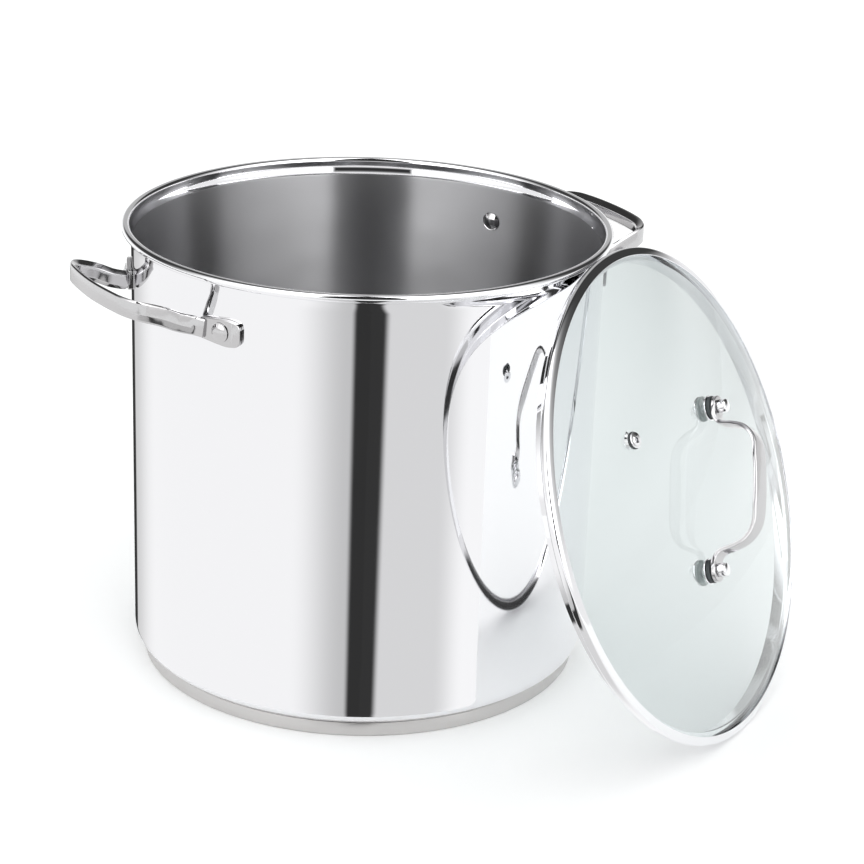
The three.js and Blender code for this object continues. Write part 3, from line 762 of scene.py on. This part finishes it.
def make_lid_fixings():
    """At each pad of the lid's handle: washers, gaskets, a screw and its cap nut."""
    bore = SCREW_SHANK + FIT_GAP
    inner_gasket = INNER_SEAT - INNER_GASKET
    inner_washer = inner_gasket - FIT_GAP - INNER_WASHER
    head = inner_washer - FIT_GAP
    nut = PAD_TOP + FIT_GAP
    screw = rounded([
        (0, head - 2.6, 0), (3.8, head - 2.5, 2), (5, head - 1.2, 1.2), (5, head, 0.2),
        (SCREW_SHANK, head, 0), (SCREW_SHANK, nut + 4, 0.3), (0, nut + 4, 0),
    ])
    cap_nut = rounded([
        (bore, nut, 0.1), (4.3, nut, 0.3), (4.3, nut + 5.3, 1.3), (0, nut + 6.3, 0), (0, nut + 4.3, 0),
        (bore, nut + 4.3, 0.2),
    ])
    outer_gasket = SEAT + OUTER_WASHER + FIT_GAP
    washers = {
        "outer_washer": washer_profile(WASHER_RADIUS, bore, SEAT, OUTER_WASHER, 0.25),
        "outer_gasket": washer_profile(OUTER_GASKET_RADIUS, bore, outer_gasket, OUTER_GASKET, 0.7),
        "inner_gasket": washer_profile(WASHER_RADIUS, bore, inner_gasket, INNER_GASKET, 0.5),
        "inner_washer": washer_profile(WASHER_RADIUS, bore, inner_washer, INNER_WASHER, 0.3),
    }
    shapes = {**washers, "screw": screw, "cap_nut": cap_nut}
    gaskets = {"outer_gasket": dark_silicone, "inner_gasket": pale_silicone}
    for label, spot in HANDLE_SPOTS.items():
        for kind, profile in shapes.items():
            bm = bmesh.new()
            lathe(bm, profile, SMALL_ROUND_STEPS)
            node = f"{label}_lid_handle_{kind}"
            finish_piece(
                f"{node}_turned", bm, "lid", [gaskets.get(kind, mirror_steel)], [node],
                LID @ Matrix.Translation(spot),
            )


def make_vent():
    """A rolled eyelet through the glass, on a soft ring."""
    slope = math.asin(VENT_REACH / GLASS_SPHERE)
    spot = lid_spot(VENT_REACH, VENT_TURN) + Vector((0, 0, glass_height(VENT_REACH)))
    lean = Matrix.Rotation(math.radians(VENT_TURN), 4, "Z") @ Matrix.Rotation(slope, 4, "Y")
    place = LID @ Matrix.Translation(spot) @ lean
    under = -GLASS_THICKNESS - 0.35
    flange = 2.0
    bm = bmesh.new()
    lathe(bm, washer_profile(5.4, 3.4, 0.35, 1.35, 0.45), SMALL_ROUND_STEPS)
    finish_piece("vent_gasket_ring", bm, "lid", [dark_silicone], ["vent_gasket"], place)
    bm = bmesh.new()
    lathe(bm, rounded([
        (1.6, under - 0.8, 0.3), (4.8, under - 0.8, 0.4), (4.8, under, 0.3), (3, under, 0.2),
        (3, flange, 0.2), (4.9, flange, 0.35), (4.9, flange + 0.9, 0.5), (3, flange + 1, 0.3),
        (2.5, flange + 1.7, 0.4), (1.6, flange + 1.7, 0.3),
    ], 4, closed=True), SMALL_ROUND_STEPS)
    finish_piece(
        "vent_rolled_eyelet", bm, "lid", [mirror_steel], ["vent_eyelet"], place,
    )


# ---- jar rack ----------------------------------------------------------------------------------
def make_rack():
    """Rings welded on three crossed bars with feet, and two cross wires for the lifting handles."""
    bm = bmesh.new()
    rings = [(RACK_RADIUS, RACK_WIRE, RACK_BAR_HEIGHT + RACK_RIM_RISE)]
    rings += [(radius, RACK_RING_WIRE, RACK_RING_HEIGHT) for radius in RACK_RINGS]
    for radius, wire, height in rings:
        lathe(bm, circle((radius, height), wire, 16), 120)
    foot = POT_FLOOR + WALL + FIT_GAP
    for turn in (0, 60, 120):
        way = lid_spot(1, turn)
        bar_height = UP * RACK_BAR_HEIGHT
        rod(bm, way * -RACK_RADIUS + bar_height, way * RACK_RADIUS + bar_height, RACK_WIRE)
        for end in (1, -1):
            leg = way * (end * RACK_FOOT_REACH)
            rod(bm, leg + UP * foot, leg + bar_height, RACK_WIRE)
    chord = math.sqrt(RACK_RADIUS ** 2 - RACK_PIVOT_REACH ** 2)
    for side in (1, -1):
        level = Vector((0, side * RACK_PIVOT_REACH, RACK_RING_HEIGHT))
        rod(bm, level + Vector((-chord, 0, 0)), level + Vector((chord, 0, 0)), RACK_RING_WIRE)
    finish_piece(
        "jar_rack_welded_frame", bm, "jar_rack", [plated_wire], ["jar_rack_frame"],
    )


def make_bail(node, body, side):
    """A lifting handle: one bent wire with an eye round its pivot at each end."""
    corner = BAIL_CORNER
    half = [
        (-BAIL_HALF, 0), (-BAIL_HALF, -20), (-BAIL_HALF, -BAIL_LENGTH + corner * 1.5),
        (-BAIL_HALF + corner * 0.35, -BAIL_LENGTH + corner * 0.35),
        (-BAIL_HALF + corner * 1.5, -BAIL_LENGTH),
    ]
    loop = half + [(-x, y) for x, y in reversed(half)]
    path = smooth_path([(x, y, EYE_RADIUS) for x, y in loop], 8)
    bm = bmesh.new()
    sections = [circle((0, 0), BAIL_WIRE, 16)] * len(path)
    sweep(bm, sections, stations_along(path, lambda along: UP))
    for x in (-BAIL_HALF, BAIL_HALF):
        stand = Matrix.Translation((x, 0, 0)) @ Matrix.Rotation(math.pi / 2, 4, "Y")
        lathe(bm, circle((EYE_RADIUS, 0), EYE_WIRE, 14), 36, stand)
    turn = Matrix.Rotation(0 if side > 0 else math.pi, 4, "Z")
    place = Matrix.Translation((0, side * RACK_PIVOT_REACH, RACK_RING_HEIGHT)) @ turn
    finish_piece(f"{node}_wire", bm, body, [plated_wire], [node], place)


# ---- studio ------------------------------------------------------------------------------------
def make_camera():
    """A long lens that looks down on the pot from its front left."""
    data = bpy.data.cameras.new("camera")
    data.lens = CAMERA_LENS
    data.sensor_width = 36
    data.clip_start = 0.05
    camera = bpy.data.objects.new("camera", data)
    level = math.cos(CAMERA_PITCH)
    aim = Vector((level * math.cos(CAMERA_AIM), level * math.sin(CAMERA_AIM), -math.sin(CAMERA_PITCH)))
    right = aim.cross(UP).normalized()
    up = right.cross(aim)
    rolled_right = right * math.cos(CAMERA_ROLL) + up * math.sin(CAMERA_ROLL)
    rolled_up = up * math.cos(CAMERA_ROLL) - right * math.sin(CAMERA_ROLL)
    place = Matrix((rolled_right, rolled_up, -aim)).transposed().to_4x4()
    place.translation = CAMERA_PLACE
    camera.matrix_world = place
    bpy.context.scene.collection.objects.link(camera)
    bpy.context.scene.camera = camera


def make_floor():
    """A wide pale floor with a faint glow, so that it stays near white."""
    bm = bmesh.new()
    bmesh.ops.create_grid(bm, x_segments=2, y_segments=2, size=12)
    mesh = bpy.data.meshes.new("studio_floor")
    bm.to_mesh(mesh)
    bm.free()
    material, tree = new_material("painted_studio_floor")
    shade = pattern(tree, 400, 400, 400, 2.0)
    share = add(tree, "ShaderNodeMapRange", {
        "Value": shade, "From Min": 0.3, "From Max": 0.7, "To Min": 0.0, "To Max": 1.0,
    })
    tone = add(tree, "ShaderNodeMix", {
        "Factor": share.outputs["Result"], "A": colour("#f9fbfb"), "B": colour("#fbfcfc"),
    }, data_type="RGBA")
    shader = add(tree, "ShaderNodeBsdfPrincipled", {
        "Base Color": tone.outputs["Result"], "Roughness": 0.9, "Specular IOR Level": 0.1,
        "Emission Color": colour("#ffffff"), "Emission Strength": 0.09,
    })
    add(tree, "ShaderNodeOutputMaterial", {"Surface": shader.outputs[0]})
    mesh.materials.append(material)
    floor = bpy.data.objects.new("studio_floor", mesh)
    bpy.context.scene.collection.objects.link(floor)


def card_shade(turn, height):
    """Painted reflection: the brightness of the lighting card that the wall shows at this turn and height,
    with a dark band, a fall and a rise beside it, dark ends and a faint glow.
    """
    low = 1 - height / RIM_HEIGHT
    spread = ease(CARD_FLARE_FROM, CARD_FLARE_TO, height) ** 2
    left = CARD_BLACK_LEFT - 0.1 * low - 6 * spread
    right = CARD_BLACK_RIGHT - 1.2 * low + 8 * spread
    fall = 1.0 - 0.42 * ease(-17, -3, turn)
    rise = 0.73 + 0.3 * ease(18, 26, turn)
    white = fall if turn < (left + right) / 2 else rise
    black = ease(left - 0.7, left + 0.7, turn) * (1 - ease(right - 0.9, right + 0.9, turn))
    end = 1 - ease(CARD_END - 0.7, CARD_END + 0.7, turn)
    edge_fade = 0.66 + 0.34 * ease(-76, -60, turn)
    return white * edge_fade * (1 - CARD_BLACK * black) * (1 - CARD_END_BLACK * end) + CARD_GLOW


def make_lighting_card():
    """A shaded card that lies round the pot. Only reflections see it. Its shades are painted reflections:
    the card is laid out by mirroring the camera's sight lines off the wall, so they line up with the wall
    only from this camera.
    """
    columns, rows = 420, 46
    bm = bmesh.new()
    bmesh.ops.create_grid(bm, x_segments=columns, y_segments=rows, size=1)
    shade = bm.verts.layers.float_color.new("shade")
    start = math.degrees(math.atan2(CAMERA_PLACE.y, CAMERA_PLACE.x))
    for vert in bm.verts:
        turn = CARD_START + CARD_TURN * (vert.co.x + 1) / 2
        height = CARD_LOWEST + (RIM_HEIGHT + CARD_OVER_RIM - CARD_LOWEST) * (vert.co.y + 1) / 2
        angle = math.radians(start + turn)
        out = Vector((math.cos(angle), math.sin(angle), 0))
        wall = out * POT_RADIUS * MM + UP * height * MM
        sight = (wall - CAMERA_PLACE).normalized()
        bounced = sight - out * 2 * sight.dot(out)
        level = card_shade(turn, height)
        vert[shade] = (level, level, level, 1)
        vert.co = wall + bounced * ((wall.z - CARD_LIFT) / -bounced.z)
    mesh = bpy.data.meshes.new("lighting_card")
    bm.to_mesh(mesh)
    bm.free()
    # The card glows with its shade, which is a painted reflection for the wall.
    material, tree = new_material("painted_reflection_card")
    tone = add(tree, "ShaderNodeAttribute", attribute_name="shade")
    glow = add(tree, "ShaderNodeEmission", {"Color": tone.outputs["Color"], "Strength": 1.0})
    add(tree, "ShaderNodeOutputMaterial", {"Surface": glow.outputs[0]})
    mesh.materials.append(material)
    card = bpy.data.objects.new("lighting_card", mesh)
    bpy.context.scene.collection.objects.link(card)
    for ray in ("camera", "diffuse", "transmission", "volume_scatter", "shadow"):
        setattr(card, f"visible_{ray}", False)


def make_light():
    """White light all round. Reflections see the room instead, bright in front and dark behind."""
    world = bpy.data.worlds.new("studio")
    bpy.context.scene.world = world
    world.use_nodes = True
    tree = world.node_tree
    tree.nodes.clear()
    way = add(tree, "ShaderNodeTexCoord")
    start = math.atan2(CAMERA_PLACE.y, CAMERA_PLACE.x)
    turned = add(tree, "ShaderNodeMapping", {
        "Vector": way.outputs["Generated"], "Rotation": (0, 0, -start),
    })
    split = add(tree, "ShaderNodeSeparateXYZ", {"Vector": turned.outputs[0]})
    angle = add(tree, "ShaderNodeMath", {
        0: split.outputs["Y"], 1: split.outputs["X"],
    }, operation="ARCTAN2").outputs[0]
    aside = add(tree, "ShaderNodeMath", {0: angle}, operation="ABSOLUTE").outputs[0]
    ramps = {
        "front": (aside, ROOM_BRIGHT_TO, ROOM_DARK_FROM, ROOM_BRIGHT, ROOM_DARK),
        "gap_starts": (angle, GAP_LEFT - GAP_EDGE, GAP_LEFT + GAP_EDGE, 0.0, 1.0),
        "gap_ends": (angle, GAP_RIGHT - GAP_EDGE, GAP_RIGHT + GAP_EDGE, 1.0, 0.0),
        "behind": (aside, BACK_PANEL_FROM, BACK_PANEL_FULL, 0.0, 1.0),
        "cove": (split.outputs["Z"], COVE_FULL, COVE_TOP, 1.0, 0.0),
    }
    ramped = {}
    for part, (value, low, high, first, last) in ramps.items():
        ramped[part] = add(tree, "ShaderNodeMapRange", {
            "Value": value, "From Min": low, "From Max": high, "To Min": first, "To Max": last,
        }, interpolation_type="SMOOTHSTEP").outputs["Result"]
    gap = add(tree, "ShaderNodeMath", {
        0: ramped["gap_starts"], 1: ramped["gap_ends"],
    }, operation="MULTIPLY")
    open_part = add(tree, "ShaderNodeMapRange", {
        "Value": gap.outputs[0], "From Min": 0, "From Max": 1, "To Min": 1.0, "To Max": GAP_LEVEL,
    })
    level = add(tree, "ShaderNodeMath", {
        0: ramped["front"], 1: open_part.outputs["Result"],
    }, operation="MULTIPLY")
    walls = add(tree, "ShaderNodeMix", {
        "Factor": ramped["behind"], "A": level.outputs[0], "B": BACK_PANEL,
    })
    room = add(tree, "ShaderNodeMix", {
        "Factor": ramped["cove"], "A": walls.outputs["Result"], "B": COVE,
    })
    path = add(tree, "ShaderNodeLightPath")
    strength = add(tree, "ShaderNodeMix", {
        "Factor": path.outputs["Is Glossy Ray"], "A": WORLD_STRENGTH, "B": room.outputs["Result"],
    })
    glow = add(tree, "ShaderNodeBackground", {
        "Color": colour("#ffffff"), "Strength": strength.outputs["Result"],
    })
    add(tree, "ShaderNodeOutputWorld", {"Surface": glow.outputs[0]})
    bpy.context.scene.view_settings.view_transform = "Standard"


make_camera()
make_light()
make_floor()
make_lighting_card()
make_pot()
make_base()
make_side_handle("right_side_handle", 0)
make_side_handle("left_side_handle", 180)
make_rivets()
make_glass()
make_band()
make_lid_handle()
make_lid_fixings()
make_vent()
make_rack()
make_bail("jar_rack_rear_lifting_handle", "rear_lifting_handle", 1)
make_bail("jar_rack_front_lifting_handle", "front_lifting_handle", -1)

bpy.context.view_layer.update()
